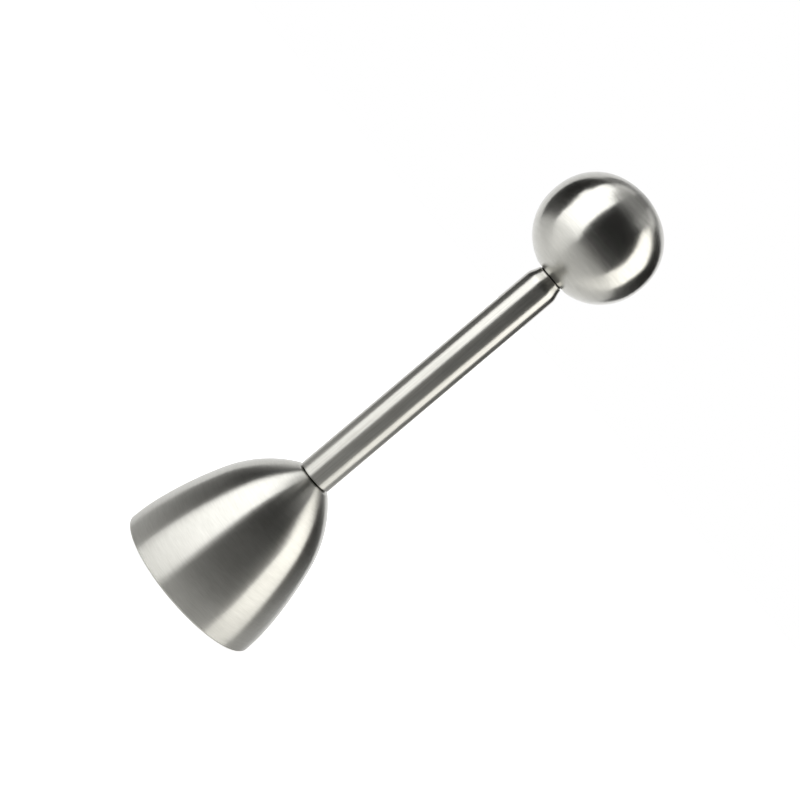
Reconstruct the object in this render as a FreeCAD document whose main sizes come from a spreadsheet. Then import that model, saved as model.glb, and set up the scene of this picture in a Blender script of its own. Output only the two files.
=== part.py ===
import FreeCAD, Part
import math
import os
import Sketcher

# A spring-loaded egg topper. The bell cup stands on the blunt end of an egg. The ball is pulled
# up against a spring inside the tube and let go: the spring snaps it back, its collar strikes the
# end of the tube, and the shock runs down into the rim of the cup and cracks a ring in the shell.
#
# Everything is turned or drawn about one axis, so most pieces are a section revolved about Z.
# The row frame stands on the cup's rim: z = 0 is the rim, +Z runs up the tube to the ball.

# ---------------------------------------------------------------- driving dimensions, millimetres

DRIVING = (
    # the bell cup: a drawn sheet whose meridian is four tangent arcs
    ("cup_mouth_dia", 38.0, "outside diameter of the rim"),
    ("cup_height", 35.8, "rim to the flat that the tube stands on"),
    ("cup_wall", 0.9, "sheet of the cup"),
    ("cup_seat_inset", 0.1, "how far the flat on top stays inside the tube's edge"),
    ("crown_bend", 0.4, "inner radius of the bend round the seat"),
    ("mouth_arc", 46.0, "radius of the meridian where it comes upright at the rim"),
    ("mouth_slope", 9.7, "lean of the wall in degrees, above the mouth arc"),
    ("flank_slope", 19.6, "lean of the wall between flank and shoulder"),
    ("shoulder_slope", 53.0, "lean of the wall between shoulder and crown"),
    ("rim_round_outer", 0.35, "rounding of the rim, outside"),
    ("rim_round_inner", 0.15, "rounding of the rim, inside"),
    # the guide tube: its bore takes the rod and the spring, and its end is swaged to a neck
    ("tube_wall", 0.8, "wall of the tube"),
    ("tube_length", 66.65, "cut length after swaging"),
    ("swage_angle", 21.0, "half angle of the swaged cone, degrees"),
    ("swage_shoulder", 3.5, "radius where the tube turns into the cone"),
    ("swage_heel", 2.8, "radius where the cone turns back towards upright"),
    ("neck_lean", 8.0, "lean that is left at the end of the neck, degrees"),
    ("neck_wall", 1.31, "wall at the swaged end, thickened by the swaging"),
    ("neck_land", 0.4, "straight part of the neck's bore"),
    ("tube_edge", 0.15, "edge break at both ends of the tube"),
    # the plug that closes the tube and carries the cup
    ("plug_length", 8.0, "length inside the tube"),
    ("plug_flange_inset", 0.45, "how far the flange stays inside the tube's outside"),
    ("plug_flange", 0.3, "thickness of the flange, the dark line between tube and cup"),
    ("plug_chamfer", 0.5, "lead-in at the top of the plug"),
    ("spigot_dia", 5.0, "spigot that centres the cup"),
    ("spigot_relief", 0.1, "what the spigot stays short of the cup's inner face"),
    ("tap_depth", 6.8, "depth of the tapped hole above the cup's seat"),
    ("drill_half_angle", 59.0, "half the angle of the drill's point, degrees"),
    # the screw that holds the cup, with its washers
    ("screw_dia", 3.0, "thread"),
    ("screw_length", 8.0, "under the head"),
    ("screw_head_dia", 5.7, "button head"),
    ("screw_head_height", 1.65, "button head"),
    ("screw_head_edge", 0.3, "straight edge of the head"),
    ("screw_head_flat", 3.2, "flat on the head"),
    ("screw_socket", 2.0, "hexagon across flats"),
    ("screw_socket_depth", 1.0, "hexagon"),
    ("washer_inset", 0.6, "how far the plain washer stays inside the cup's flat"),
    ("washer_thickness", 0.5, "plain washer"),
    ("lock_washer_dia", 5.6, "split washer"),
    ("lock_washer_thickness", 0.8, "split washer, flattened"),
    ("lock_washer_split", 0.5, "gap of the split"),
    # rod, slug and nut: the plunger inside the tube
    ("rod_dia", 4.0, "pull rod"),
    ("rod_thread_dia", 3.0, "reduced lower end"),
    ("rod_tail", 1.0, "thread that stands out of the nut"),
    ("end_chamfer", 0.35, "both ends of the rod and the tip of the screw"),
    ("slug_length", 8.0, "guide slug"),
    ("slug_chamfer", 0.4, "guide slug"),
    ("nut_gap", 0.225, "air between the nut's corners and the tube"),
    ("nut_height", 2.4, "hexagon nut"),
    # the spring between its two seats, at rest under preload
    ("spring_length", 22.5, "seat to seat, ball home"),
    ("wire_dia", 0.7, "spring wire"),
    ("coil_room_inside", 0.45, "air between rod and spring"),
    ("coil_room_outside", 0.25, "air between spring and tube"),
    ("active_coils", 9.0, "working coils, a whole number"),
    ("closed_coils", 1.0, "closed coils at each end, a whole number"),
    ("coil_gap", 0.04, "air between a closed coil and the next"),
    ("seat_upper_thickness", 0.8, "washer under the swaged cone"),
    ("seat_lower_thickness", 0.6, "washer on the slug"),
    # the ball: two drawn shells on a turned insert
    ("ball_dia", 28.4, "across the equator"),
    ("ball_flattening", 0.66, "how much lower than round the poles are"),
    ("pole_press", 0.6, "how far the lower pole is pressed flat for the collar"),
    ("ball_wall", 1.2, "sheet of the ball"),
    ("equator_arc", 17.5, "radius of the meridian at the equator"),
    ("equator_slope", 7.0, "lean of the wall where the equator arc ends, degrees"),
    ("polar_slope", 68.0, "lean of the wall where the polar arc begins, degrees"),
    ("pole_blend", 3.0, "rounding between the flat under the ball and its lower pole"),
    ("collar_inset", 0.35, "how far the collar stays inside the neck"),
    ("collar_thickness", 0.3, "flange of the insert, the dark line between tube and ball"),
    ("collar_round", 0.08, "rounding of the collar's rim, above and below"),
    ("insert_wall", 0.6, "wall of the insert inside the ball"),
    ("insert_length", 8.4, "insert above the collar"),
    ("insert_roof", 1.2, "metal above the blind hole"),
    ("insert_edge", 0.12, "edge break at the top of the insert"),
    # fits, each per side
    ("sliding_gap", 0.08, "slug in tube, rod in neck"),
    ("loose_gap", 0.1, "washers on the rod"),
    ("seat_gap", 0.06, "spring seats in the tube"),
    ("braze_gap", 0.02, "pieces that are brazed or pressed"),
    ("thread_gap", 0.02, "screw threads, drawn as plain cylinders"),
    ("spigot_gap", 0.05, "spigot in the cup, washers on the screw"),
)

PART_FOLDER = "parts"
AXIAL = 1e-6
CUT_PAST = 1.2
OCTAGON_HALF_SIDE = 22.5

doc = FreeCAD.newDocument("EggTopper")
sheet = doc.addObject("Spreadsheet::Sheet", "Sizes")
derived = doc.addObject("App::VarSet", "Derived")


# ---------------------------------------------------------------- sizes that stay tied to the sheet


class Size:
    """A size that knows its number and the expression that ties it to the sheet."""

    def __init__(self, value, text):
        self.value = value
        self.text = text

    def __add__(self, other):
        other = as_size(other)
        return Size(self.value + other.value, "(%s + %s)" % (self.text, other.text))

    def __sub__(self, other):
        other = as_size(other)
        return Size(self.value - other.value, "(%s - %s)" % (self.text, other.text))

    def __mul__(self, other):
        other = as_size(other)
        return Size(self.value * other.value, "(%s * %s)" % (self.text, other.text))

    def __truediv__(self, other):
        other = as_size(other)
        return Size(self.value / other.value, "(%s / %s)" % (self.text, other.text))

    def __radd__(self, other):
        return as_size(other) + self

    def __rsub__(self, other):
        return as_size(other) - self

    def __rmul__(self, other):
        return as_size(other) * self

    def __neg__(self):
        return Size(-self.value, "(0 - %s)" % self.text)


def as_size(value):
    """A plain number as a Size."""
    return value if isinstance(value, Size) else Size(float(value), repr(float(value)))


def cosine(angle):
    return Size(math.cos(math.radians(angle.value)), "cos(%s)" % angle.text)


def sine(angle):
    return Size(math.sin(math.radians(angle.value)), "sin(%s)" % angle.text)


def tangent(angle):
    return Size(math.tan(math.radians(angle.value)), "tan(%s)" % angle.text)


def root(value):
    return Size(math.sqrt(value.value), "sqrt(%s)" % value.text)


def write_sheet():
    """Fill the sheet: a name, its number and what it is, one row for each driving dimension."""
    sizes = {}
    for row, (alias, value, meaning) in enumerate(DRIVING, start=1):
        sheet.set("A%d" % row, alias)
        sheet.set("B%d" % row, repr(value))
        sheet.set("C%d" % row, meaning)
        sheet.setAlias("B%d" % row, alias)
        sizes[alias] = Size(value, "Sizes.%s" % alias)
    doc.recompute()
    return sizes


def derive(name, size):
    """Keep a worked-out size under a name of its own, so that later expressions stay short."""
    derived.addProperty("App::PropertyFloat", name, "Derived")
    derived.setExpression(name, size.text)
    doc.recompute()
    if abs(getattr(derived, name) - size.value) > 1e-9:
        raise ValueError("%s: expression and number differ" % name)
    return Size(size.value, "Derived.%s" % name)


# ---------------------------------------------------------------- sketches and features


def new_body(label):
    """An empty body that names its own file."""
    body = doc.addObject("PartDesign::Body", label)
    body.Label = label
    return body


def place(body, height):
    """Stand a body on the axis at a height that follows the sheet."""
    body.setExpression("Placement.Base.z", height.text)


def new_sketch(body, name, plane):
    """A sketch on one of the body's own origin planes."""
    sketch = body.newObject("Sketcher::SketchObject", name)
    support = [face for face in body.Origin.OriginFeatures if face.Role == plane][0]
    sketch.AttachmentSupport = [(support, "")]
    sketch.MapMode = "FlatFace"
    return sketch


def bind(sketch, constraint, size):
    """Add a constraint with a number and tie it to the sheet."""
    index = sketch.addConstraint(constraint)
    sketch.setExpression("Constraints[%d]" % index, size.text)


def pin_point(sketch, geometry, end, x, y):
    """Fix one end of an edge at x, y. A zero puts the point on the sketch's own axis."""
    if abs(x.value) < AXIAL:
        sketch.addConstraint(Sketcher.Constraint("PointOnObject", geometry, end, -2))
    else:
        bind(sketch, Sketcher.Constraint("DistanceX", -1, 1, geometry, end, x.value), x)
    if abs(y.value) < AXIAL:
        sketch.addConstraint(Sketcher.Constraint("PointOnObject", geometry, end, -1))
    else:
        bind(sketch, Sketcher.Constraint("DistanceY", -1, 1, geometry, end, y.value), y)


def line(x, y):
    """A straight step of an outline, to x, y."""
    return ("line", as_size(x), as_size(y), None, 0)


def arc(x, y, radius, turn):
    """A round step of an outline, to x, y: turn is 1 to the left of the walk and -1 to the right."""
    return ("arc", as_size(x), as_size(y), as_size(radius), turn)


def arc_geometry(start, end, radius, turn):
    """The circular arc between two points, and whether the walk runs against its own sense."""
    sx, sy = start
    ex, ey = end
    chord = math.hypot(ex - sx, ey - sy)
    rise = math.sqrt(max(radius**2 - (chord / 2) ** 2, 0.0))
    centre_x = (sx + ex) / 2 - turn * rise * (ey - sy) / chord
    centre_y = (sy + ey) / 2 + turn * rise * (ex - sx) / chord
    first, last = (start, end) if turn > 0 else (end, start)
    angles = [math.atan2(y - centre_y, x - centre_x) for x, y in (first, last)]
    circle = Part.Circle(FreeCAD.Vector(centre_x, centre_y, 0), FreeCAD.Vector(0, 0, 1), radius)
    return Part.ArcOfCircle(circle, angles[0], angles[1]), turn < 0


def outline(body, name, steps, plane="XZ_Plane"):
    """A closed outline: each step runs from the last one's end, and the first from the last step."""
    sketch = new_sketch(body, name, plane)
    ends = []
    before = steps[-1]
    for step in steps:
        start = (before[1].value, before[2].value)
        end = (step[1].value, step[2].value)
        reverse = False
        if step[0] == "line":
            edge = Part.LineSegment(FreeCAD.Vector(*start, 0), FreeCAD.Vector(*end, 0))
        else:
            edge, reverse = arc_geometry(start, end, step[3].value, step[4])
        index = sketch.addGeometry(edge, False)
        ends.append((index, 2, 1) if reverse else (index, 1, 2))
        before = step
    for number, step in enumerate(steps):
        index, _, last = ends[number]
        following, first, _ = ends[(number + 1) % len(steps)]
        sketch.addConstraint(Sketcher.Constraint("Coincident", index, last, following, first))
        pin_point(sketch, index, last, step[1], step[2])
        if step[0] == "arc":
            bind(sketch, Sketcher.Constraint("Radius", index, step[3].value), step[3])
    return sketch


def circles(body, name, radii):
    """Circles round the origin, on the XY plane."""
    sketch = new_sketch(body, name, "XY_Plane")
    for radius in radii:
        circle = Part.Circle(FreeCAD.Vector(0, 0, 0), FreeCAD.Vector(0, 0, 1), radius.value)
        index = sketch.addGeometry(circle, False)
        sketch.addConstraint(Sketcher.Constraint("Coincident", index, 3, -1, 1))
        bind(sketch, Sketcher.Constraint("Radius", index, radius.value), radius)
    return sketch


def turned(body, steps):
    """A turned piece: its half section, x outwards and y up, revolved about Z."""
    section = outline(body, body.Name + "_section", steps)
    revolution = body.newObject("PartDesign::Revolution", body.Name + "_turned")
    revolution.Profile = section
    revolution.ReferenceAxis = (section, ["V_Axis"])
    revolution.Angle = 360.0
    doc.recompute()
    return revolution


def pad(body, sketch, length):
    """A sketch on the XY plane made as thick as length, upwards."""
    feature = body.newObject("PartDesign::Pad", sketch.Name + "_pad")
    feature.Profile = sketch
    feature.setExpression("Length", length.text)
    doc.recompute()
    return feature


def pocket(body, sketch, depth):
    """A pocket that is cut upwards from the XY plane, and that must take metal away."""
    before = body.Shape.Volume
    feature = body.newObject("PartDesign::Pocket", sketch.Name + "_pocket")
    feature.Profile = sketch
    feature.Reversed = True
    feature.setExpression("Length", depth.text)
    doc.recompute()
    if body.Shape.Volume > before - 1e-3:
        raise ValueError("%s cuts nothing" % feature.Name)
    return feature


def washer(label, inner, outer, thickness, height):
    """A flat ring, lying on its height."""
    body = new_body(label)
    pad(body, circles(body, label + "_ring", [outer, inner]), thickness)
    place(body, height)
    return body


def hexagon(corner_r):
    """The steps of a hexagon outline, by its corners' radius, with two corners on X."""
    steps = []
    for side in range(6):
        turn = math.radians(60 * side)
        steps.append(line(corner_r * round(math.cos(turn), 12), corner_r * round(math.sin(turn), 12)))
    return steps


def circle_edges(feature, radius, height):
    """The names of a feature's round edges that have a radius, at a height in the body."""
    names = []
    for number, edge in enumerate(feature.Shape.Edges, start=1):
        curve = edge.Curve
        if isinstance(curve, Part.Circle) and abs(curve.Radius - radius.value) < 1e-4:
            if abs(curve.Center.z - height.value) < 1e-4:
                names.append("Edge%d" % number)
    if not names:
        raise ValueError("%s has no round edge of radius %.3f" % (feature.Name, radius.value))
    return names


def fillet(body, feature, edges, radius, name):
    """A rounding along named edges of a feature."""
    rounding = body.newObject("PartDesign::Fillet", name)
    rounding.Base = (feature, edges)
    rounding.setExpression("Radius", radius.text)
    doc.recompute()
    return rounding


# ---------------------------------------------------------------- drawn meridians


class Meridian:
    """A drawn wall of tangent arcs, from where it stands upright up to where it lies flat.

    A lean is the wall's angle from upright. Each arc carries the wall from one lean to the next,
    and the sheet has the same thickness all along, so both faces share each arc's centre.
    """

    def __init__(self, foot_radius, leans, radii):
        self.leans = leans
        self.radii = radii
        self.joints = [(foot_radius, as_size(0))]
        for number, radius in enumerate(radii):
            r, z = self.joints[-1]
            low, high = leans[number], leans[number + 1]
            r = r + radius * (cosine(high) - cosine(low))
            z = z + radius * (sine(high) - sine(low))
            self.joints.append((r, z))

    def name_joints(self, prefix):
        """Give the joints short names, so that the sketches' expressions stay readable."""
        for number, (r, z) in enumerate(self.joints[1:], start=1):
            named_r = derive("%s_joint_%d_r" % (prefix, number), r)
            named_z = derive("%s_joint_%d_z" % (prefix, number), z)
            self.joints[number] = (named_r, named_z)

    def outer(self, sign=1, base=0):
        """The steps up the outer face; sign -1 hangs the wall below its foot."""
        steps = []
        for number, radius in enumerate(self.radii):
            r, z = self.joints[number + 1]
            steps.append(arc(r, base + sign * z, radius, sign))
        return steps

    def inner(self, wall, sign=1, base=0):
        """The steps back down the inner face, from the top of the wall to its foot."""
        steps = []
        for number in range(len(self.radii) - 1, -1, -1):
            r, z = self.joints[number]
            lean = self.leans[number]
            inner_r = r - wall * cosine(lean)
            inner_z = z - wall * sine(lean)
            steps.append(arc(inner_r, base + sign * inner_z, self.radii[number] - wall, -sign))
        return steps


def two_free_arcs(span_r, span_z, leans):
    """Radii of two arcs that run through three leans and together cover a span inwards and up."""
    low, middle, high = leans
    in_first = cosine(low) - cosine(middle)
    in_second = cosine(middle) - cosine(high)
    up_first = sine(middle) - sine(low)
    up_second = sine(high) - sine(middle)
    scale = in_first * up_second - in_second * up_first
    first = (span_r * up_second - span_z * in_second) / scale
    second = (span_z * in_first - span_r * up_first) / scale
    return first, second


# ---------------------------------------------------------------- shared sizes

size = write_sheet()
NONE = as_size(0)
FLAT = as_size(90)

# across the axis, from the rod outwards: the rod, the spring round it, the tube round both
rod_r = size["rod_dia"] / 2
rod_thread_r = size["rod_thread_dia"] / 2
wire_r = size["wire_dia"] / 2
coil_r = derive("coil_r", rod_r + size["coil_room_inside"] + wire_r)
bore_r = derive("bore_r", coil_r + wire_r + size["coil_room_outside"])
tube_r = derive("tube_r", bore_r + size["tube_wall"])
neck_bore_r = derive("neck_bore_r", rod_r + size["sliding_gap"])
neck_r = derive("neck_r", neck_bore_r + size["neck_wall"])
collar_r = derive("collar_r", neck_r - size["collar_inset"])
rod_hole_r = derive("rod_hole_r", rod_r + size["thread_gap"])
insert_r = derive("insert_r", rod_hole_r + size["insert_wall"])
ball_r = size["ball_dia"] / 2

# across the axis, at the cup
cup_r = size["cup_mouth_dia"] / 2
cup_seat_r = derive("cup_seat_r", tube_r - size["cup_seat_inset"])
crown_r = derive("crown_r", size["crown_bend"] + size["cup_wall"])
screw_r = size["screw_dia"] / 2
spigot_r = size["spigot_dia"] / 2

# heights along the axis, in the row frame
cup_top = size["cup_height"]
tube_foot = derive("tube_foot", cup_top + size["plug_flange"])
tube_end = derive("tube_end", tube_foot + size["tube_length"])
ball_half = derive("ball_half", ball_r - size["ball_flattening"])
floor_depth = derive("floor_depth", ball_half - size["pole_press"])
ball_middle = derive("ball_middle", tube_end + size["collar_thickness"] + floor_depth)

# the swaged end, counted down from the end of the tube
cone_run = (bore_r - neck_bore_r) / tangent(size["swage_angle"])
swage_floor = derive("swage_floor", size["tube_length"] - size["neck_land"] - cone_run)

# the plunger, counted down from the upper spring seat, which bears on the swaged cone
seat_upper_foot = derive("seat_upper_foot", tube_foot + swage_floor - size["seat_upper_thickness"])
seat_lower_top = derive("seat_lower_top", seat_upper_foot - size["spring_length"])
slug_top = derive("slug_top", seat_lower_top - size["seat_lower_thickness"])
slug_foot = derive("slug_foot", slug_top - size["slug_length"])
nut_foot = derive("nut_foot", slug_foot - size["nut_height"])

# the screw and its washers, counted down from the inner face of the cup's crown
washer_foot = derive("washer_foot", cup_top - size["cup_wall"] - size["washer_thickness"])
lock_washer_foot = derive("lock_washer_foot", washer_foot - size["lock_washer_thickness"])
screw_foot = derive("screw_foot", lock_washer_foot - size["screw_head_height"])


# ---------------------------------------------------------------- the pieces


def bell_cup():
    """The drawn bell: upright at the rim, long flank, round shoulder, flat seat with a hole."""
    wall = size["cup_wall"]
    leans = [NONE, size["mouth_slope"], size["flank_slope"], size["shoulder_slope"], FLAT]
    mouth_arc = size["mouth_arc"]
    span_r = cup_r - cup_seat_r - mouth_arc * (1 - cosine(leans[1])) - crown_r * cosine(leans[3])
    span_z = cup_top - mouth_arc * sine(leans[1]) - crown_r * (1 - sine(leans[3]))
    flank, shoulder = two_free_arcs(span_r, span_z, leans[1:4])
    radii = [mouth_arc, derive("flank_arc", flank), derive("shoulder_arc", shoulder), crown_r]
    meridian = Meridian(cup_r, leans, radii)
    meridian.name_joints("cup")
    hole_r = spigot_r + size["spigot_gap"]
    body = new_body("bell_cup")
    steps = meridian.outer()
    steps.append(line(hole_r, cup_top))
    steps.append(line(hole_r, cup_top - wall))
    steps.append(line(cup_seat_r, cup_top - wall))
    steps.extend(meridian.inner(wall))
    steps.append(line(cup_r, 0))
    shell = turned(body, steps)
    outside = circle_edges(shell, cup_r, NONE)
    rim = fillet(body, shell, outside, size["rim_round_outer"], "rim_outside")
    inside = circle_edges(rim, cup_r - wall, NONE)
    fillet(body, rim, inside, size["rim_round_inner"], "rim_inside")
    return body


def guide_tube():
    """The straight tube, its upper end swaged to a short cone that closes on the rod."""
    edge = size["tube_edge"]
    angle = size["swage_angle"]
    lean = size["neck_lean"]
    length = size["tube_length"]
    shoulder = size["swage_shoulder"]
    heel = size["swage_heel"]
    turn_r = derive("turn_r", tube_r - shoulder * (1 - cosine(angle)))
    heel_r = derive("heel_r", neck_r + heel * (cosine(lean) - cosine(angle)))
    cone_end = derive("cone_end", length - edge - heel * (sine(angle) - sine(lean)))
    cone_start = derive("cone_start", cone_end - (turn_r - heel_r) / tangent(angle))
    body = new_body("guide_tube")
    turned(
        body,
        [
            line(tube_r - edge, 0),
            line(tube_r, edge),
            line(tube_r, cone_start - shoulder * sine(angle)),
            arc(turn_r, cone_start, shoulder, 1),
            line(heel_r, cone_end),
            arc(neck_r, length - edge, heel, -1),
            line(neck_r - edge, length),
            line(neck_bore_r, length),
            line(neck_bore_r, length - size["neck_land"]),
            line(bore_r, swage_floor),
            line(bore_r, 0),
        ],
    )
    place(body, tube_foot)
    return body


def end_plug():
    """The turned plug in the foot of the tube: flange, spigot for the cup, tapped hole."""
    body_r = bore_r - size["braze_gap"]
    flange_r = tube_r - size["plug_flange_inset"]
    chamfer = size["plug_chamfer"]
    top = size["plug_flange"] + size["plug_length"]
    tap_r = derive("tap_r", screw_r + size["thread_gap"])
    drill_point = tap_r / tangent(size["drill_half_angle"])
    spigot_foot = size["spigot_relief"] - size["cup_wall"]
    body = new_body("end_plug")
    turned(
        body,
        [
            line(spigot_r, spigot_foot),
            line(spigot_r, 0),
            line(flange_r, 0),
            line(flange_r, size["plug_flange"]),
            line(body_r, size["plug_flange"]),
            line(body_r, top - chamfer),
            line(body_r - chamfer, top),
            line(0, top),
            line(0, size["tap_depth"] + drill_point),
            line(tap_r, size["tap_depth"]),
            line(tap_r, spigot_foot),
        ],
    )
    place(body, cup_top)
    return body


def cup_washer():
    """The plain washer that spreads the screw's load on the thin crown."""
    hole = screw_r + size["spigot_gap"]
    outer = cup_seat_r - size["washer_inset"]
    return washer("cup_washer", hole, outer, size["washer_thickness"], washer_foot)


def cup_lock_washer():
    """The split spring washer, pressed flat, under the screw's head."""
    hole = screw_r + size["spigot_gap"]
    outer = size["lock_washer_dia"] / 2
    thickness = size["lock_washer_thickness"]
    body = washer("cup_lock_washer", hole, outer, thickness, lock_washer_foot)
    half = size["lock_washer_split"] / 2
    reach = outer * CUT_PAST
    split = outline(
        body,
        "lock_washer_split",
        [line(reach, half), line(hole / 2, half), line(hole / 2, -half), line(reach, -half)],
        "XY_Plane",
    )
    pocket(body, split, thickness * CUT_PAST)
    return body


def cup_screw():
    """The button-head screw, head down inside the cup, with a hexagon socket."""
    head_r = size["screw_head_dia"] / 2
    height = size["screw_head_height"]
    edge_z = height - size["screw_head_edge"]
    flat_r = size["screw_head_flat"] / 2
    tip = height + size["screw_length"]
    chamfer = size["end_chamfer"]
    body = new_body("cup_screw")
    turned(
        body,
        [
            line(flat_r, 0),
            arc(head_r, edge_z, head_r, 1),
            line(head_r, height),
            line(screw_r, height),
            line(screw_r, tip - chamfer),
            line(screw_r - chamfer, tip),
            line(0, tip),
            line(0, 0),
        ],
    )
    socket_corner_r = size["screw_socket"] / math.sqrt(3)
    socket = outline(body, "screw_socket", hexagon(socket_corner_r), "XY_Plane")
    pocket(body, socket, size["screw_socket_depth"])
    place(body, screw_foot)
    return body


def spring_seats():
    """The two washers that the spring presses on: under the swaged cone, and on the slug."""
    hole = rod_r + size["loose_gap"]
    outer = bore_r - size["seat_gap"]
    upper = size["seat_upper_thickness"]
    lower = size["seat_lower_thickness"]
    washer("spring_seat_upper", hole, outer, upper, seat_upper_foot)
    washer("spring_seat_lower", hole, outer - size["seat_gap"], lower, slug_top)


def wire_section(body, name, middle_x, middle_y):
    """The wire's section: an octagon round the wire, which keeps the coil's mesh light."""
    half = wire_r * math.tan(math.radians(OCTAGON_HALF_SIDE))
    corners = (
        (wire_r, half), (half, wire_r), (-half, wire_r), (-wire_r, half),
        (-wire_r, -half), (-half, -wire_r), (half, -wire_r), (wire_r, -half),
    )
    steps = [line(middle_x + across, middle_y + up) for across, up in corners]
    return outline(body, name, steps)


def drive_spring():
    """The compression spring: a closed coil at each end, working coils between."""
    closed = size["closed_coils"]
    closed_pitch = derive("closed_pitch", size["wire_dia"] + size["coil_gap"])
    closed_rise = closed_pitch * closed
    working = size["spring_length"] - size["wire_dia"] - 2 * closed_rise
    working_pitch = derive("working_pitch", working / size["active_coils"])
    stretches = (
        ("spring_foot", wire_r, closed_pitch, closed),
        ("spring_coils", wire_r + closed_rise, working_pitch, size["active_coils"]),
        ("spring_head", wire_r + closed_rise + working, closed_pitch, closed),
    )
    body = new_body("drive_spring")
    for name, start, pitch, turns in stretches:
        wire = wire_section(body, name + "_wire", coil_r, start)
        helix = body.newObject("PartDesign::AdditiveHelix", name)
        helix.Profile = wire
        helix.ReferenceAxis = (wire, ["V_Axis"])
        helix.Mode = "pitch-turns-angle"
        helix.setExpression("Pitch", pitch.text)
        helix.setExpression("Turns", turns.text)
        doc.recompute()
    place(body, seat_lower_top)
    return body


def pull_rod():
    """The rod: threaded into the ball's insert above, reduced and threaded for the nut below."""
    chamfer = size["end_chamfer"]
    foot = -(size["slug_length"] + size["nut_height"] + size["rod_tail"])
    blind = size["collar_thickness"] + size["insert_length"] - size["insert_roof"]
    top = tube_end + blind - size["loose_gap"] - slug_top
    body = new_body("pull_rod")
    turned(
        body,
        [
            line(rod_thread_r - chamfer, foot),
            line(rod_thread_r, foot + chamfer),
            line(rod_thread_r, 0),
            line(rod_r, 0),
            line(rod_r, top - chamfer),
            line(rod_r - chamfer, top),
            line(0, top),
            line(0, foot),
        ],
    )
    place(body, slug_top)
    return body


def guide_slug():
    """The slug that guides the rod's lower end in the tube and lifts the spring."""
    outer = bore_r - size["sliding_gap"]
    hole = rod_thread_r + size["thread_gap"]
    chamfer = size["slug_chamfer"]
    length = size["slug_length"]
    body = new_body("guide_slug")
    turned(
        body,
        [
            line(outer - chamfer, 0),
            line(outer, chamfer),
            line(outer, length - chamfer),
            line(outer - chamfer, length),
            line(hole, length),
            line(hole, 0),
        ],
    )
    place(body, slug_foot)
    return body


def slug_nut():
    """The hexagon nut under the slug."""
    body = new_body("slug_nut")
    corner_r = bore_r - size["nut_gap"]
    pad(body, outline(body, "nut_hexagon", hexagon(corner_r), "XY_Plane"), size["nut_height"])
    bore = circles(body, "nut_bore", [rod_thread_r + size["thread_gap"]])
    pocket(body, bore, size["nut_height"] * CUT_PAST)
    place(body, nut_foot)
    return body


def ball_insert():
    """The turned insert: a blind hole for the rod, and the thin collar that strikes the tube."""
    rounding = size["collar_round"]
    collar = size["collar_thickness"]
    edge = size["insert_edge"]
    top = collar + size["insert_length"]
    body = new_body("ball_insert")
    turned(
        body,
        [
            line(collar_r - rounding, 0),
            arc(collar_r, rounding, rounding, 1),
            line(collar_r, collar - rounding),
            arc(collar_r - rounding, collar, rounding, 1),
            line(insert_r, collar),
            line(insert_r, top - edge),
            line(insert_r - edge, top),
            line(0, top),
            line(0, top - size["insert_roof"]),
            line(rod_hole_r, top - size["insert_roof"]),
            line(rod_hole_r, 0),
        ],
    )
    place(body, tube_end)
    return body


def ball_meridian():
    """The ball's wall from its equator to a pole: steep sides, a rounder cheek, a flatter pole."""
    leans = [NONE, size["equator_slope"], size["polar_slope"], FLAT]
    equator = size["equator_arc"]
    span_r = ball_r - equator * (1 - cosine(leans[1]))
    span_z = ball_half - equator * sine(leans[1])
    cheek, polar = two_free_arcs(span_r, span_z, leans[1:])
    radii = [equator, derive("cheek_arc", cheek), derive("polar_arc", polar)]
    meridian = Meridian(ball_r, leans, radii)
    meridian.joints[-1] = (NONE, ball_half)
    meridian.name_joints("ball")
    return meridian


def ball_upper_shell(meridian):
    """The upper half of the ball."""
    wall = size["ball_wall"]
    body = new_body("ball_upper_shell")
    steps = meridian.outer()
    steps.append(line(0, ball_half - wall))
    steps.extend(meridian.inner(wall))
    steps.append(line(ball_r, 0))
    turned(body, steps)
    place(body, ball_middle)
    return body


def ball_lower_shell(meridian):
    """The lower half: its pole is pressed flat round the hole for the insert."""
    wall = size["ball_wall"]
    polar = meridian.radii[-1]
    centre = polar - ball_half
    drop = floor_depth + centre
    floor_r = derive("ball_floor_r", root(polar * polar - drop * drop))
    inner_polar = polar - wall
    inner_depth = floor_depth - wall
    inner_drop = inner_depth + centre
    inner_r = derive("ball_floor_inner_r", root(inner_polar * inner_polar - inner_drop * inner_drop))
    hole = insert_r + size["braze_gap"]
    body = new_body("ball_lower_shell")
    steps = meridian.outer(-1)[:-1]
    steps.append(arc(floor_r, -floor_depth, polar, -1))
    steps.append(line(hole, -floor_depth))
    steps.append(line(hole, -inner_depth))
    steps.append(line(inner_r, -inner_depth))
    steps.extend(meridian.inner(wall, -1))
    steps.append(line(ball_r, 0))
    shell = turned(body, steps)
    blend = size["pole_blend"]
    pole = circle_edges(shell, floor_r, -floor_depth)
    outside = fillet(body, shell, pole, blend, "pole_outside")
    inside = circle_edges(outside, inner_r, -inner_depth)
    fillet(body, outside, inside, blend - wall, "pole_inside")
    place(body, ball_middle)
    return body


# ---------------------------------------------------------------- build, check and write


def build():
    """Every piece, from the rim up."""
    bell_cup()
    guide_tube()
    end_plug()
    cup_washer()
    cup_lock_washer()
    cup_screw()
    spring_seats()
    drive_spring()
    pull_rod()
    guide_slug()
    slug_nut()
    ball_insert()
    meridian = ball_meridian()
    ball_lower_shell(meridian)
    ball_upper_shell(meridian)
    doc.recompute()


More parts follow.
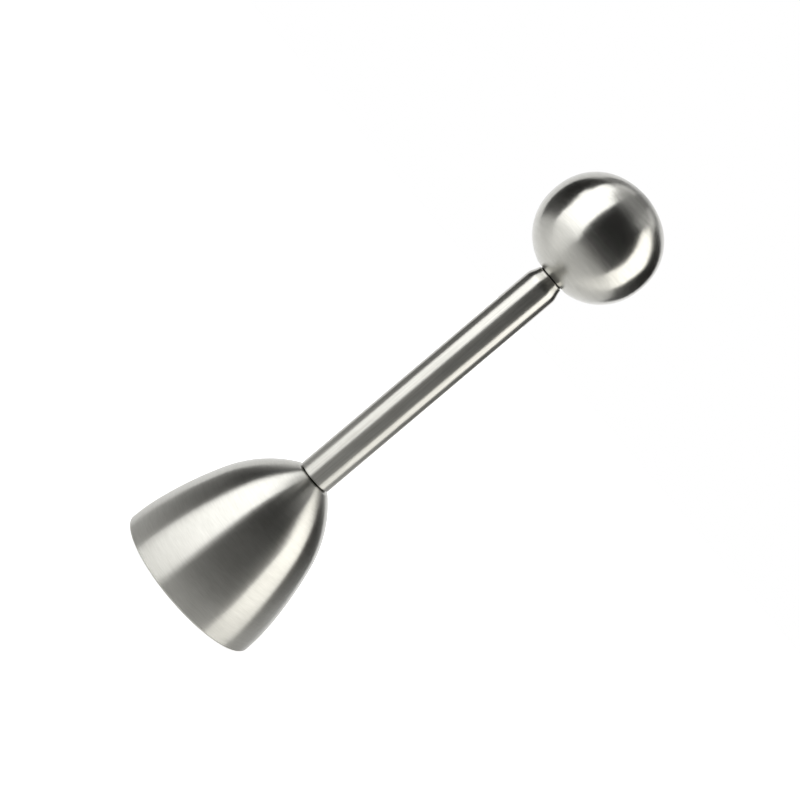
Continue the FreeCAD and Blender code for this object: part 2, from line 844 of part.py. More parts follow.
def check():
    """Stop on any object that failed, any loose sketch and any piece that isn't one sound solid."""
    for thing in doc.Objects:
        if "Invalid" in thing.State or "Error" in thing.State:
            raise RuntimeError("%s failed: %s" % (thing.Name, thing.State))
        if thing.TypeId == "Sketcher::SketchObject" and not thing.FullyConstrained:
            raise RuntimeError("%s is not fully constrained" % thing.Name)
    for body in doc.findObjects("PartDesign::Body"):
        shape = body.Shape
        if shape.isNull() or not shape.isValid() or len(shape.Solids) != 1:
            raise RuntimeError("%s is not one valid solid" % body.Label)


def write():
    """One STEP file for each piece, named after it."""
    os.makedirs(PART_FOLDER, exist_ok=True)
    for body in doc.findObjects("PartDesign::Body"):
        shape = body.Shape
        shape.exportStep(os.path.join(PART_FOLDER, body.Label + ".step"))
        box = shape.BoundBox
        print(
            "%-18s %9.2f mm3  z %7.2f to %7.2f  r %6.2f"
            % (body.Label, shape.Volume, box.ZMin, box.ZMax, box.XMax)
        )


build()
check()
write()
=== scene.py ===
# %% [markdown]
# # A spring-loaded egg topper in brushed stainless steel
# The cup stands on the blunt end of an egg. The ball is pulled up a short way and let go, and the
# knock cracks a clean ring in the shell. Every shape is turned or drawn about one upright axis.
#
# The shapes come from a CAD model, which is loaded here as a frame that nothing may move. What is
# left for Blender is what the eye reads as steel: how each surface was brushed or polished, and the
# studio that the metal mirrors. A mirror has no look of its own, so the studio is half the finish.

# %% Load the frame
import math

import bmesh
import bpy
from mathutils import Matrix, Vector


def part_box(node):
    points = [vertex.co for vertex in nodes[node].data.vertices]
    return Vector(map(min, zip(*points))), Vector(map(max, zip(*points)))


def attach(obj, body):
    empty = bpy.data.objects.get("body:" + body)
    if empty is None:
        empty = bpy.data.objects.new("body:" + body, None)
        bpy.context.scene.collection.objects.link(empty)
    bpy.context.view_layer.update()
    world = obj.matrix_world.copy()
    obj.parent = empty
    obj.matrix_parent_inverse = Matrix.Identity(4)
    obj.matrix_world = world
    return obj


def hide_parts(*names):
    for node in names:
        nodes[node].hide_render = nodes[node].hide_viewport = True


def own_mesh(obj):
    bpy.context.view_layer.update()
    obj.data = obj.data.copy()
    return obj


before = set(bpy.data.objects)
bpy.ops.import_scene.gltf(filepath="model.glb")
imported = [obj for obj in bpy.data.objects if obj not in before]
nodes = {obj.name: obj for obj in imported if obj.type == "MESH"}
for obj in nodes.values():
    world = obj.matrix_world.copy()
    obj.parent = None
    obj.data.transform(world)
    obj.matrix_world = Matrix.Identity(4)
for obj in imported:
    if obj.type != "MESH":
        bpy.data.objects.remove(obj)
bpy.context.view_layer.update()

print("nodes:", ", ".join(sorted(nodes)))

# %% [markdown]
# ## Places on the part
# The finishes change along the axis: the cup grows duller towards its rim, and the tube towards its
# foot. Their places are read from the CAD pieces' boxes, so that they follow the model if it changes.

# %% Measure the pieces
MILLIMETRE = 0.001
cup_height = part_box("bell_cup")[1].z
tube_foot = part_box("guide_tube")[0].z
tube_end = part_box("guide_tube")[1].z
tube_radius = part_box("guide_tube")[1].x
ball_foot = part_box("ball_lower_shell")[0].z
ball_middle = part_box("ball_upper_shell")[0].z
ball_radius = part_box("ball_upper_shell")[1].x
print("cup %.1f mm, tube %.1f to %.1f mm" % (1000 * cup_height, 1000 * tube_foot, 1000 * tube_end))
print("ball: middle %.1f mm, radius %.2f mm" % (1000 * ball_middle, 1000 * ball_radius))

# %% [markdown]
# ## Shader maths as Python
# A finish is a formula: how rough is this point, how deep is this scratch. In the shader editor each
# plus or times is a node to place and wire by hand. A small class that wraps a socket lets the same
# formula be written as a Python expression, and the expression adds the nodes.

# %% A socket that does arithmetic
class Channel:
    """A node's output that Python's arithmetic can be used on."""

    def __init__(self, finish, socket):
        self.finish = finish
        self.socket = socket

    def maths(self, operation, first, second):
        return self.finish.node("ShaderNodeMath", {"operation": operation}, {0: first, 1: second})

    def __add__(self, other):
        return self.maths("ADD", self, other)

    def __radd__(self, other):
        return self.maths("ADD", other, self)

    def __sub__(self, other):
        return self.maths("SUBTRACT", self, other)

    def __rsub__(self, other):
        return self.maths("SUBTRACT", other, self)

    def __mul__(self, other):
        return self.maths("MULTIPLY", self, other)

    def __rmul__(self, other):
        return self.maths("MULTIPLY", other, self)

    def __truediv__(self, other):
        return self.maths("DIVIDE", self, other)

    def __rtruediv__(self, other):
        return self.maths("DIVIDE", other, self)

    def __pow__(self, other):
        return self.maths("POWER", self, other)

    def __gt__(self, other):
        return self.maths("GREATER_THAN", self, other)

    def also(self, output):
        """Another output of the same node."""
        return Channel(self.finish, self.socket.node.outputs[output])


print(Channel.__name__, "turns Python's arithmetic into Math nodes")


# %% A finish under construction
class Finish:
    """A material, and one method that adds any node to it."""

    def __init__(self, name):
        self.material = bpy.data.materials.new(name)
        self.material.use_nodes = True
        self.tree = self.material.node_tree
        self.tree.nodes.clear()

    def node(self, kind, settings=None, sockets=None, output=0):
        """Add a node: its settings first, then numbers or channels for its sockets."""
        node = self.tree.nodes.new(kind)
        for setting, value in (settings or {}).items():
            setattr(node, setting, value)
        for socket, value in (sockets or {}).items():
            if isinstance(value, Channel):
                self.tree.links.new(value.socket, node.inputs[socket])
            else:
                node.inputs[socket].default_value = value
        return Channel(self, node.outputs[output]) if node.outputs else None

    def fade(self, value, start, end, low=0.0, high=1.0):
        """A number that goes softly from low to high while value goes from start to end."""
        return self.node(
            "ShaderNodeMapRange",
            {"interpolation_type": "SMOOTHSTEP"},
            {"Value": value, "From Min": start, "From Max": end, "To Min": low, "To Max": high},
        )

    def place(self, kind="Object"):
        """A point's x on the piece, or its normal's x; also("Y") and also("Z") give the rest."""
        return self.node("ShaderNodeSeparateXYZ", {}, {0: self.node("ShaderNodeTexCoord", output=kind)})

    def blend(self, share, first, second):
        """A colour between two others, for a share that changes over the surface."""
        return self.node("ShaderNodeMix", {"data_type": "RGBA"}, {0: share, 6: first, 7: second}, 2)

    def surface(self, shader):
        self.node("ShaderNodeOutputMaterial", {}, {"Surface": shader})
        return self.material


print(Finish.__name__, "adds nodes of every other type")


# %% [markdown]
# ## Grain on a turned piece
# A brush or a belt that runs round a turned piece leaves thousands of fine scratches, each long
# round the piece and very thin across. A picture wrapped round the piece would show a seam and
# stretch at the pole, and plain noise gives blots. Four-dimensional noise has no such trouble: two of
# its dimensions take the point's heading, as a cosine and a sine, so it closes on itself all the way
# round, and the fourth takes the distance along the piece, drawn out until blots turn into lines.

# %% Where a point lies, and the grain there
TINY = 1e-12


def turned_place(finish):
    """A point's distance from the axis, its height, and its heading as a cosine and a sine."""
    across = finish.place()
    depth = across.also("Y")
    radius = (across * across + depth * depth + TINY) ** 0.5
    return radius, across.also("Z"), (across / radius, depth / radius)


def grain(finish, heading, streaks, lines, detail=2.0):
    """Noise about zero: so many streaks to a radian of turn, and lines counted along the piece."""
    cosine, sine = heading
    ring = finish.node("ShaderNodeCombineXYZ", {}, {"X": cosine * streaks, "Y": sine * streaks})
    noise = finish.node(
        "ShaderNodeTexNoise",
        {"noise_dimensions": "4D"},
        {"Vector": ring, "W": lines, "Scale": 1.0, "Detail": detail, "Roughness": 0.6},
    )
    return noise - 0.5


print("a radian of turn is %.1f mm on the tube's skin" % (1000 * tube_radius))

# %% [markdown]
# ## One steel, many surfaces
# All pieces are the same steel, so they share one shader and differ in their numbers. Steel mirrors
# about half the light and is slightly warm. Scratches that run round a piece scatter light along it
# and stretch each highlight that way: that is anisotropy, and a quarter turn of its direction lays it
# along the meridians. Each finish below names its stretch, a plain number on its own socket. The
# grain feeds three things: a little darker or lighter, a little rougher or smoother, and a relief a
# few thousandths of a millimetre deep. A polished piece can also send a small share of its light into
# a wide haze, so that it never mirrors black as black.

# %% The steel shader
STEEL_LIGHT = (0.565, 0.56, 0.525, 1.0)
STEEL_DARK = (0.42, 0.415, 0.385, 1.0)
ALONG = 0.25
HAZE_ROUGHNESS = 0.6


def steel(finish, tone, roughness, relief, depth, anisotropy=0.0, haze=0.0, dark=STEEL_DARK):
    """Bare steel: tone runs from dark at 0 to light at 1, and relief stands up to depth metres."""
    colour = finish.blend(tone, dark, STEEL_LIGHT)
    bump = finish.node("ShaderNodeBump", {}, {"Strength": 1.0, "Distance": depth, "Height": relief})
    shared = {"Base Color": colour, "Metallic": 1.0, "Anisotropic Rotation": ALONG, "Normal": bump}
    clear = finish.node(
        "ShaderNodeBsdfPrincipled", {}, {**shared, "Roughness": roughness, "Anisotropic": anisotropy}
    )
    if not haze:
        return clear
    wide = finish.node("ShaderNodeBsdfPrincipled", {}, {**shared, "Roughness": HAZE_ROUGHNESS})
    return finish.node("ShaderNodeMixShader", {}, {0: haze, 1: clear, 2: wide})


print("steel mirrors %.0f to %.0f percent" % (100 * STEEL_DARK[1], 100 * STEEL_LIGHT[1]))

# %% [markdown]
# ## The cup
# The cup is drawn from sheet, and its outside is brushed on a spindle. The wheel reaches the tight
# bend at the crown best and leaves the wide skirt a touch duller. The brushed lines show mostly as
# light and dark, and their roughness stays nearly even: where a mirror and a matt line lie side by
# side, the metal looks scratched, not brushed. Nobody brushes the inside: it keeps the dull skin of
# the press. The rim is dressed last, on a fine belt that takes the burr away, and it is the
# brightest line on the cup. Inside and outside are told apart by the normal: outside it leans away
# from the axis or up, inside towards it or down.

# %% Brushed cup
CUP_FINE_LINE = 0.12 * MILLIMETRE
CUP_BROAD_LINE = 1.1 * MILLIMETRE
CUP_CLOUD = 9 * MILLIMETRE
CUP_RELIEF = 0.0015 * MILLIMETRE
CUP_STRETCH = 0.92
SKIRT_TOP = 24 * MILLIMETRE
RIM_LAND = 0.35 * MILLIMETRE


def brushed_cup():
    finish = Finish("brushed_cup")
    radius, height, heading = turned_place(finish)
    meridian = height - radius
    fine = grain(finish, heading, 7.0, meridian / CUP_FINE_LINE)
    broad = grain(finish, heading, 2.5, meridian / CUP_BROAD_LINE)
    cloud = grain(finish, heading, 3.0, meridian / CUP_CLOUD, 1.0)
    normal = finish.place("Normal")
    away = normal * heading[0] + normal.also("Y") * heading[1]
    outside = away + normal.also("Z") * 0.5 > 0.0
    rim = finish.fade(height, 0.0, RIM_LAND * 2, 1.0, 0.0)
    skirt = finish.fade(height, 0.0, SKIRT_TOP, 0.01, 0.0)
    brushed = skirt + 0.29 + fine * 0.03 + broad * 0.02 + cloud * 0.02
    pressed = cloud * 0.12 + 0.46
    roughness = (outside * brushed + (1.0 - outside) * pressed) * (1.0 - rim * 0.45)
    tone = fine * 1.3 + broad * 0.7 + cloud * 0.5 + 0.56 + rim * 0.3
    relief = fine * 0.7 + broad * 0.4
    return finish.surface(steel(finish, tone, roughness, relief, CUP_RELIEF, CUP_STRETCH))


cup_finish = brushed_cup()
print(cup_finish.name, "has", len(cup_finish.node_tree.nodes), "nodes")

# %% [markdown]
# ## The ball
# Two drawn shells, welded at the equator, ground and brushed round on a spindle. The lines run round
# the axis, so they are counted along the meridian, by the angle of latitude. The weld is ground
# flush, and all that stays is a hair of duller metal.

# %% Brushed ball
BALL_FINE_LINE = 0.15 * MILLIMETRE
BALL_BROAD_LINE = 0.9 * MILLIMETRE
BALL_CLOUD = 6 * MILLIMETRE
BALL_RELIEF = 0.003 * MILLIMETRE
BALL_STRETCH = 0.8
WELD_WIDTH = 0.25 * MILLIMETRE


def brushed_ball():
    finish = Finish("brushed_ball")
    radius, height, heading = turned_place(finish)
    rise = height - ball_middle
    meridian = rise.maths("ARCTAN2", rise, radius) * ball_radius
    fine = grain(finish, heading, 6.0, meridian / BALL_FINE_LINE)
    broad = grain(finish, heading, 2.5, meridian / BALL_BROAD_LINE)
    cloud = grain(finish, heading, 2.0, meridian / BALL_CLOUD, 1.0)
    weld = finish.fade(rise.maths("ABSOLUTE", rise, 0.0), 0.0, WELD_WIDTH, 1.0, 0.0)
    roughness = fine * 0.04 + broad * 0.03 + cloud * 0.03 + 0.23 + weld * 0.01
    tone = fine * 1.0 + broad * 0.8 + cloud * 0.4 + 0.55
    relief = fine * 0.7 + broad * 0.5
    return finish.surface(steel(finish, tone, roughness, relief, BALL_RELIEF, BALL_STRETCH))


ball_finish = brushed_ball()
print(ball_finish.name, "has", len(ball_finish.node_tree.nodes), "nodes")

# %% [markdown]
# ## The tube
# Drawn tube, swaged to a neck at one end. The belt that polished it leaves a haze, and the swaging
# dies burnish that haze away over the last stretch, up to the neck. The foot is a touch duller than
# the rest. A faint grain runs lengthwise: it is the drawing die's. For that the same noise is turned
# round: many streaks to a radian, and few lines along.

# %% Polished tube
DIE_STREAK = 0.24 * MILLIMETRE
DIE_LENGTH = 14 * MILLIMETRE
BELT_LINE = 0.2 * MILLIMETRE
TUBE_CLOUD = 5 * MILLIMETRE
TUBE_RELIEF = 0.0015 * MILLIMETRE
TUBE_STRETCH = 0.8
BURNISHED = 16 * MILLIMETRE


def polished_tube():
    finish = Finish("polished_tube")
    _, height, heading = turned_place(finish)
    die = grain(finish, heading, tube_radius / DIE_STREAK, height / DIE_LENGTH)
    belt = grain(finish, heading, 4.0, height / BELT_LINE)
    cloud = grain(finish, heading, 1.5, height / TUBE_CLOUD, 1.0)
    neck = finish.fade(height, tube_end - BURNISHED, tube_end)
    dulling = finish.fade(height, tube_foot, tube_end, 0.31, 0.29)
    roughness = dulling + die * 0.02 + belt * 0.02 + cloud * 0.02
    tone = die * 1.8 + belt * 0.5 + cloud * 0.5 + 0.55
    relief = die * 0.6 + belt * 0.6
    haze = finish.fade(height, tube_foot, tube_end, 0.06, 0.10) * (1.0 - neck * 0.9)
    return finish.surface(steel(finish, tone, roughness, relief, TUBE_RELIEF, TUBE_STRETCH, haze))


tube_finish = polished_tube()
print(tube_finish.name, "has", len(tube_finish.node_tree.nodes), "nodes")

# %% [markdown]
# ## Turned pieces
# The insert in the ball, the plug at the tube's foot and the slug inside come from the lathe. The tool
# leaves a fine thread of grooves, which is a wave along the axis rather than noise. Insert and plug
# are brazed in. The narrow flange of each sits in a thin recessed joint, and its colour is painted
# near black there: that is painted shade, and it draws a dark line at either end of the tube.

# %% Turned steel
GROOVE = 0.12 * MILLIMETRE
WEAR_LINE = 0.3 * MILLIMETRE
TURNED_RELIEF = 0.002 * MILLIMETRE
GROUND_RELIEF = 0.0006 * MILLIMETRE
TURNED_STRETCH = 0.4
# Painted shade: a near-black colour for the flanges of insert and plug, in their thin recessed joints.
PAINTED_FLANGE_SHADE = (0.03, 0.03, 0.028, 1.0)
FLANGE_SHADE_EDGE = 0.1 * MILLIMETRE


def turned_finish(name, dullness, depth, shade_below=None):
    finish = Finish(name)
    radius, height, heading = turned_place(finish)
    groove = height.maths("SINE", (height + radius) * (2 * math.pi / GROOVE), 0.0)
    wear = grain(finish, heading, 3.0, height / WEAR_LINE)
    tone = wear * 0.8 + 0.55
    roughness = wear * 0.12 + dullness
    dark = STEEL_DARK
    # Below the flange top the colour fades to near black: painted shade for the recessed joint.
    if shade_below:
        dark = PAINTED_FLANGE_SHADE
        tone = finish.fade(height, shade_below, shade_below + FLANGE_SHADE_EDGE, 0.0, 0.85) + wear * 0.1
    relief = groove * 0.3 + wear * 0.5
    return finish.surface(steel(finish, tone, roughness, relief, depth, TURNED_STRETCH, dark=dark))


insert_finish = turned_finish("turned_insert", 0.28, TURNED_RELIEF, ball_foot)
plug_finish = turned_finish("turned_plug", 0.28, TURNED_RELIEF, tube_foot)
slug_finish = turned_finish("turned_slug", 0.24, TURNED_RELIEF)
rod_finish = turned_finish("ground_rod", 0.12, GROUND_RELIEF)
for turned in (insert_finish, plug_finish, slug_finish, rod_finish):
    print(turned.name, "has", len(turned.node_tree.nodes), "nodes")

# %% [markdown]
# ## Small hardware
# Screw, washers and nut are bought in by the bag. They are tumbled, which leaves an even satin with
# no direction, so their noise is plain. The spring's wire is drawn and heat-treated, and its skin is
# darker than the rest.

# %% Tumbled and drawn steel
TUMBLED_RELIEF = 0.002 * MILLIMETRE


def tumbled_finish(name, dullness, level, speck):
    finish = Finish(name)
    place = finish.node("ShaderNodeTexCoord", output="Object")
    noise = finish.node("ShaderNodeTexNoise", {}, {"Vector": place, "Scale": 1 / speck, "Detail": 3.0})
    tone = (noise - 0.5) * 0.8 + level
    roughness = (noise - 0.5) * 0.2 + dullness
    return finish.surface(steel(finish, tone, roughness, noise, TUMBLED_RELIEF))


hardware_finish = tumbled_finish("tumbled_hardware", 0.27, 0.5, 0.4 * MILLIMETRE)
wire_finish = tumbled_finish("drawn_wire", 0.3, 0.15, 0.2 * MILLIMETRE)
print(hardware_finish.name, "for screw, washers and nut;", wire_finish.name, "for the spring")

# %% [markdown]
# ## Dress the CAD pieces
# Each CAD piece came in with a placeholder material in its one slot. Only the slot is changed: the
# mesh, its normals and its place stay the model's own.

# %% Give each piece its finish
dressed = {
    "bell_cup": cup_finish,
    "guide_tube": tube_finish,
    "ball_lower_shell": ball_finish,
    "ball_upper_shell": ball_finish,
    "ball_insert": insert_finish,
    "end_plug": plug_finish,
    "guide_slug": slug_finish,
    "pull_rod": rod_finish,
    "drive_spring": wire_finish,
}
for name, node in nodes.items():
    node.material_slots[0].material = dressed.get(name, hardware_finish)
    print("%-18s %s" % (name, node.material_slots[0].material.name))

# %% [markdown]
# ## The spring
# The CAD spring has an eight-sided wire, which is enough for a simulation but not for the eye.
# The real one is round wire, closed at both ends and ground flat there, so that it stands square on
# its seats. The tool for a coil is the spin with a lift: a ring of wire is carried round the axis and
# up a little at each step. One turn at close pitch, the working turns, and one more close turn are
# three spins, each starting from the last one's end. The ends are capped while they are still plain
# rings, and only then are they ground: a plane cuts each end, and the cut is filled.

# %% Wind the spring
WIRE_RADIUS = 0.35 * MILLIMETRE
WIRE_SIDES = 14
CLOSE_PITCH = 0.74 * MILLIMETRE
WORKING_TURNS = 9
STEPS_PER_TURN = 40
GROUND_SHARE = 0.75
spring_low, spring_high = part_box("drive_spring")
coil_radius = spring_high.x - WIRE_RADIUS
ground_off = WIRE_RADIUS * GROUND_SHARE
working_rise = spring_high.z - spring_low.z - 2 * (WIRE_RADIUS - ground_off) - 2 * CLOSE_PITCH


def wind(mesh, ring, turns, rise):
    """Carry a ring of wire round the axis and up; returns the ring it ends on."""
    steps = turns * STEPS_PER_TURN
    spun = bmesh.ops.spin(
        mesh,
        geom=ring,
        cent=(0, 0, 0),
        axis=(0, 0, 1),
        dvec=(0, 0, rise / steps),
        angle=turns * 2 * math.pi,
        steps=steps,
    )
    return spun["geom_last"]


def grind(mesh, height, towards):
    """Cut away what stands past a height, upwards for 1 and downwards for -1, and close the cut."""
    everything = mesh.verts[:] + mesh.edges[:] + mesh.faces[:]
    bmesh.ops.bisect_plane(
        mesh, geom=everything, plane_co=(0, 0, height), plane_no=(0, 0, towards), clear_outer=True
    )
    bmesh.ops.holes_fill(mesh, edges=mesh.edges, sides=0)


mesh = bmesh.new()
start = Matrix.Translation((coil_radius, 0, spring_low.z + WIRE_RADIUS - ground_off))
upright = start @ Matrix.Rotation(math.radians(90), 4, "X")
bmesh.ops.create_circle(mesh, segments=WIRE_SIDES, radius=WIRE_RADIUS, matrix=upright)
ring = mesh.verts[:] + mesh.edges[:]
ring = wind(mesh, ring, 1, CLOSE_PITCH)
ring = wind(mesh, ring, WORKING_TURNS, working_rise)
wind(mesh, ring, 1, CLOSE_PITCH)
bmesh.ops.holes_fill(mesh, edges=mesh.edges, sides=0)
grind(mesh, spring_low.z, -1)
grind(mesh, spring_high.z, 1)
bmesh.ops.remove_doubles(mesh, verts=mesh.verts, dist=1e-7)
bmesh.ops.recalc_face_normals(mesh, faces=mesh.faces)
open_edges = [edge for edge in mesh.edges if not edge.is_manifold]
print("spring:", len(mesh.faces), "faces,", len(open_edges), "open edges")

# %% [markdown]
# The finished spring stands in for the CAD one, and rides on the body. In the real part it is squashed
# towards the upper seat, which doesn't move, as the ball is pulled, and at full pull it keeps 8.5 mm of
# its 22.5 mm; nothing here squashes it.

# %% Put the spring in the part
CREASE = math.radians(40)


def new_piece(name, mesh, material):
    """Make an object of a bmesh, smooth where its faces meet gently."""
    for face in mesh.faces:
        face.smooth = True
    for edge in mesh.edges:
        edge.smooth = edge.calc_face_angle(0.0) < CREASE
    data = bpy.data.meshes.new(name)
    mesh.to_mesh(data)
    mesh.free()
    data.materials.append(material)
    piece = bpy.data.objects.new(name, data)
    bpy.context.scene.collection.objects.link(piece)
    return piece


spring = new_piece("spring_coil", mesh, wire_finish)
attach(spring, "body")
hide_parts("drive_spring")
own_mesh(spring)

# %% [markdown]
# ## The camera
# A long lens a little way above the middle of the part, so that the rim shows as a shallow curve.
# The camera is rolled, which lays the part across the frame from corner to corner, and a small shift
# centres it without turning the camera any further.

# %% Camera
scene = bpy.context.scene
FRAME_PIXELS = 800
SENSOR_MM = 36.0
FOCUS_PIXELS = 1701.9
CAMERA_PLACE = Vector((-0.00025, -0.365, 0.104))
CAMERA_TURN = math.radians(-0.712)
CAMERA_TILT = math.radians(-3.858)
CAMERA_ROLL = math.radians(49.89)
SHIFT_ACROSS = -0.10
SHIFT_UP = -0.045
camera_data = bpy.data.cameras.new("camera")
camera_data.sensor_width = SENSOR_MM
camera_data.lens = FOCUS_PIXELS / FRAME_PIXELS * SENSOR_MM
camera_data.shift_x = SHIFT_ACROSS
camera_data.shift_y = SHIFT_UP
camera = bpy.data.objects.new("camera", camera_data)
scene.collection.objects.link(camera)
camera.matrix_world = (
    Matrix.Translation(CAMERA_PLACE)
    @ Matrix.Rotation(CAMERA_TURN, 4, "Z")
    @ Matrix.Rotation(math.radians(90) + CAMERA_TILT, 4, "X")
    @ Matrix.Rotation(CAMERA_ROLL, 4, "Z")
)
scene.camera = camera
scene.view_settings.view_transform = "Standard"
print("lens: %.1f mm" % camera_data.lens)

# %% [markdown]
# ## The studio
# Polished metal shows the room. Two tall soft boxes stand left and right of the camera, and black
# cloth hangs between and behind them: the boxes are the two bright stripes that run from the rim of
# the cup to the ball, and the cloth is the dark between the stripes. High up at the back hang a grey
# cloth and two weak strips, for the top of the ball, and a dim cloth makes the ceiling. The panels
# stand close by on two rings round the part, the lamps inside the cloths, and the camera looks
# through them all.
#
# Little in a studio is one flat grey. Black cloth is paler near the white floor, which throws light
# up on it, a soft box is brightest in its middle, and a ceiling is brighter over the open sides. A
# mirror shows all that, so a panel's colour changes with its height or its place. Only the grey cloth
# hangs too high for the floor's light and is even.

# %% Materials of the studio
WHITE = (1.0, 1.0, 1.0, 1.0)
BLACK = (0.0, 0.0, 0.0, 1.0)
WARM_WHITE = (1.0, 0.985, 0.95, 1.0)
CLOTH_GREY = (0.35, 0.35, 0.35, 1.0)
VELVET = 0.03
VELVET_FOOT = 0.21
SPLASH_TOP = 0.16
CEILING = 0.62
BOX_FOOT = (0.03, 0.10)
BOX_TOP = (0.50, CEILING)
FOOT_LEVEL = 0.78
TOP_LEVEL = 0.6
SOFT_BOX_STRENGTH = 2.4


def black_velvet():
    """Black cloth that is paler at its foot, as far up as the floor's light reaches."""
    finish = Finish("black_velvet")
    shade = finish.fade(finish.place().also("Z"), 0.0, SPLASH_TOP, VELVET_FOOT, VELVET)
    colour = finish.blend(shade, BLACK, WHITE)
    return finish.surface(finish.node("ShaderNodeBsdfDiffuse", {}, {"Color": colour}))


def even_cloth():
    finish = Finish("grey_cloth")
    return finish.surface(finish.node("ShaderNodeBsdfDiffuse", {}, {"Color": CLOTH_GREY}))


def glowing(finish, level, colour, strength):
    """The level goes into the colour, and the strength is a plain number."""
    light = finish.blend(level, BLACK, colour)
    return finish.node("ShaderNodeEmission", {}, {"Color": light, "Strength": strength})


def lamp(name, colour, strength):
    """A soft box or strip, dimmer at its foot and at its top."""
    finish = Finish(name)
    height = finish.place().also("Z")
    foot = finish.fade(height, *BOX_FOOT, FOOT_LEVEL, 1.0)
    top = finish.fade(height, *BOX_TOP, 1.0, TOP_LEVEL)
    return finish.surface(glowing(finish, foot * top, colour, strength))


CEILING_MIDDLE = -0.02
CEILING_FRONT_TO_BACK = (-0.28, -0.02)
CEILING_MIDDLE_TO_SIDE = (0.05, 0.22)


def ceiling_lamp(strength):
    """A cloth overhead that the room's light reaches from the sides and the back."""
    finish = Finish("ceiling")
    across = finish.place()
    sideways = across.maths("ABSOLUTE", across - CEILING_MIDDLE, 0.0)
    backwards = finish.fade(across.also("Y"), *CEILING_FRONT_TO_BACK, 0.15, 0.7)
    level = backwards * finish.fade(sideways, *CEILING_MIDDLE_TO_SIDE, 0.6, 1.0)
    return finish.surface(glowing(finish, level, WHITE, strength))


velvet = black_velvet()
grey_cloth = even_cloth()
lamp_left = lamp("soft_box_left", WHITE, SOFT_BOX_STRENGTH)
lamp_right = lamp("soft_box_right", WARM_WHITE, SOFT_BOX_STRENGTH)
lamp_rear = lamp("rear_strips", WHITE, 1.0)
lamp_top = ceiling_lamp(0.9)
print("studio materials:", velvet.name, grey_cloth.name, lamp_left.name, lamp_right.name, lamp_rear.name)

# %% [markdown]
# ## Panels on a ring
# A panel is a grid that is rolled up on a ring round the part. Its rows say, for a few heights, at
# which bearings the panel's two ends stand: 0 degrees is towards the camera, and negative bearings
# are to its left. Between two rows the ends run straight. A tapering box is only a list of rows, and
# the stripe it makes on the metal can be drawn wider or narrower just where it has to be.

# %% Roll a panel
LAMP_RING = 0.27
CLOTH_RING = 0.29
GRID_ACROSS = 16
GRID_UP = 48


def stand(panel):
    """A studio panel is no part of the object, and the camera looks through it."""
    panel.visible_camera = False


def ring_panel(name, rows, away, material):
    """A sheet rolled up on a ring. A row is a height, and the bearings of its two ends in degrees."""
    mesh = bmesh.new()
    bmesh.ops.create_grid(mesh, x_segments=GRID_ACROSS, y_segments=GRID_UP, size=0.5)
    heights = [row[0] for row in rows]
    for vert in mesh.verts:
        height = heights[0] + (heights[-1] - heights[0]) * (vert.co.y + 0.5)
        place = sum(height >= inner for inner in heights[1:-1])
        step = (height - heights[place]) / (heights[place + 1] - heights[place])
        left = rows[place][1] + (rows[place + 1][1] - rows[place][1]) * step
        right = rows[place][2] + (rows[place + 1][2] - rows[place][2]) * step
        bearing = math.radians(left + (right - left) * (vert.co.x + 0.5))
        vert.co = (away * math.sin(bearing), -away * math.cos(bearing), height)
    bmesh.ops.recalc_face_normals(mesh, faces=mesh.faces)
    stand(new_piece(name, mesh, material))


def flat_panel(name, size, centre, material):
    """A level square sheet, twice as wide as its size."""
    mesh = bmesh.new()
    bmesh.ops.create_grid(mesh, x_segments=1, y_segments=1, size=size)
    bmesh.ops.translate(mesh, verts=mesh.verts, vec=centre)
    return new_piece(name, mesh, material)


print("rings: lamps at %.0f mm, cloths at %.0f mm" % (1000 * LAMP_RING, 1000 * CLOTH_RING))

# %% Stand the panels
FOOT = -0.01
SOFT_BOX_LEFT = [
    (FOOT, -81, -19),
    (0.08, -80, -26),
    (0.12, -76, -28.5),
    (0.24, -92, -31),
    (0.31, -89, -33),
    (0.38, -110, -35),
    (0.47, -118, -39),
    (0.61, -118, -48),
]
SOFT_BOX_RIGHT = [
    (FOOT, 60, 100),
    (0.08, 60, 99),
    (0.12, 65, 99),
    (0.19, 62, 106),
    (0.25, 63, 105),
    (0.40, 65, 109),
    (0.60, 73, 116),
]
ring_panel("soft_box_left", SOFT_BOX_LEFT, LAMP_RING, lamp_left)
ring_panel("soft_box_right", SOFT_BOX_RIGHT, LAMP_RING, lamp_right)
CLOTH_FRONT = [(FOOT, -48, 75), (CEILING, -48, 75)]
CLOTH_LEFT = [(FOOT, -130, -48), (0.20, -130, -48), (CEILING, -136, -48)]
CLOTH_RIGHT = [(FOOT, 75, 147), (0.20, 75, 147), (CEILING, 75, 156)]
CLOTH_REAR = [(0.32, 156, 224), (CEILING, 156, 224)]
STRIP_REAR_LEFT = [(0.45, 192, 230), (0.60, 192, 230)]
STRIP_REAR_RIGHT = [(0.45, 130, 168), (0.60, 130, 168)]
CEILING_HALF = 0.30
ring_panel("cloth_front", CLOTH_FRONT, CLOTH_RING, velvet)
ring_panel("cloth_left", CLOTH_LEFT, CLOTH_RING, velvet)
ring_panel("cloth_right", CLOTH_RIGHT, CLOTH_RING, velvet)
ring_panel("cloth_rear", CLOTH_REAR, CLOTH_RING, grey_cloth)
ring_panel("strip_rear_left", STRIP_REAR_LEFT, LAMP_RING, lamp_rear)
ring_panel("strip_rear_right", STRIP_REAR_RIGHT, LAMP_RING, lamp_rear)
stand(flat_panel("ceiling", CEILING_HALF, (0, 0, CEILING), lamp_top))

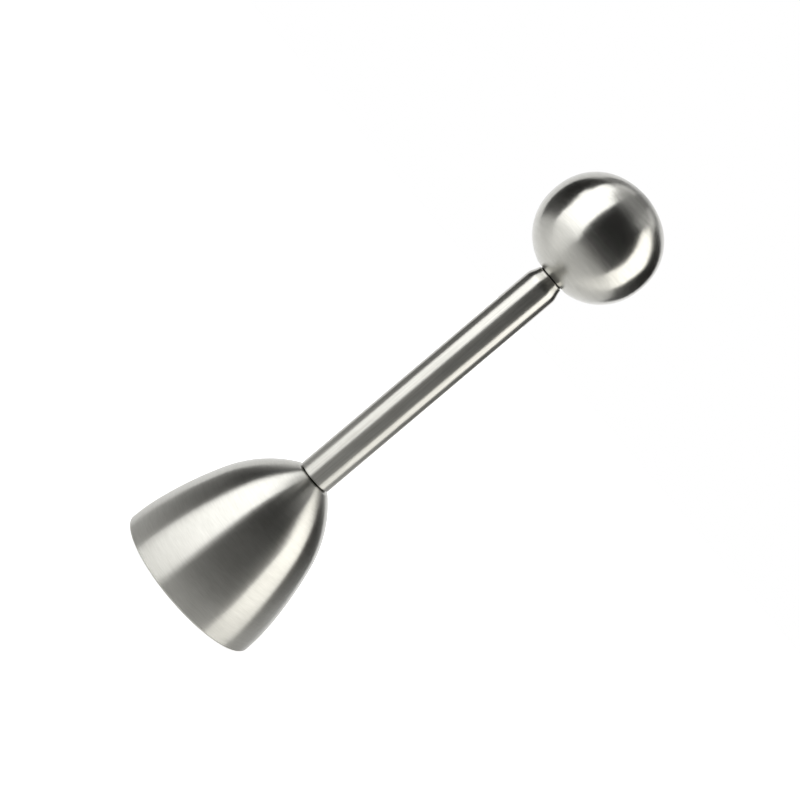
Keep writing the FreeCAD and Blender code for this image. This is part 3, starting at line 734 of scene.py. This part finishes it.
# %% [markdown]
# ## White room and floor
# Behind everything is plain white. The floor is matt paper that also glows a little for the rays that
# come from the camera or from a mirror, so it shows white although the black cloth keeps much light
# from it. The glow isn't light on the object. The paper's own shade stays, so the part still casts
# its soft shadow.
#
# The cup's skirt mirrors the floor more than anything else. Towards the front, where the black cloth
# shades the paper, the mirrored glow falls off. Seen at a grazing angle, paper also has a sheen that
# mirrors the boxes and the cloth behind it, and that is what carries the stripes down to the rim. A
# Fresnel node gives that share. From below, the floor is clear, so that the inside of the cup shows.

# %% World and floor
FLOOR_HALF = 1.5
FLOOR_FRONT = -0.30
PAPER_GREY = (0.8, 0.8, 0.8, 1.0)
CAMERA_GLOW = 0.74
GLOW_FRONT_TO_BACK = (-0.27, 0.12)
GLOW_FRONT = 0.06
GLOW_BACK = 0.6
SHEEN_INDEX = 2.2
SHEEN_GAIN = 1.4
SHEEN_MOST = 0.5
world = bpy.data.worlds.new("white_room")
world.use_nodes = True
world.node_tree.nodes["Background"].inputs["Color"].default_value = WHITE
world.node_tree.nodes["Background"].inputs["Strength"].default_value = 1.0
scene.world = world

paper = Finish("white_paper")
ray = paper.node("ShaderNodeLightPath", output="Is Camera Ray")
mirrored = ray.also("Is Glossy Ray") + ray.also("Is Transmission Ray")
front_to_back = paper.place().also("Y")
mirrored_glow = paper.fade(front_to_back, *GLOW_FRONT_TO_BACK, GLOW_FRONT, GLOW_BACK)
glow = ray * CAMERA_GLOW + mirrored * mirrored_glow
matt = paper.node("ShaderNodeBsdfDiffuse", {}, {"Color": PAPER_GREY})
pale = paper.node("ShaderNodeAddShader", {}, {0: matt, 1: glowing(paper, glow, WHITE, 1.0)})
satin = paper.node("ShaderNodeBsdfAnisotropic", {}, {"Color": PAPER_GREY, "Roughness": 0.3})
fresnel = paper.node("ShaderNodeFresnel", {}, {"IOR": SHEEN_INDEX})
sheen = fresnel.maths("MINIMUM", fresnel * SHEEN_GAIN, SHEEN_MOST)
sheet = paper.node("ShaderNodeMixShader", {}, {0: mirrored * sheen, 1: pale, 2: satin})
underneath = paper.node("ShaderNodeNewGeometry", output="Backfacing")
clear = paper.node("ShaderNodeBsdfTransparent")
paper_material = paper.surface(paper.node("ShaderNodeMixShader", {}, {0: underneath, 1: sheet, 2: clear}))
flat_panel("floor", FLOOR_HALF, (0, FLOOR_FRONT + FLOOR_HALF, 0), paper_material)
print("floor:", paper_material.name, "has", len(paper.tree.nodes), "nodes")
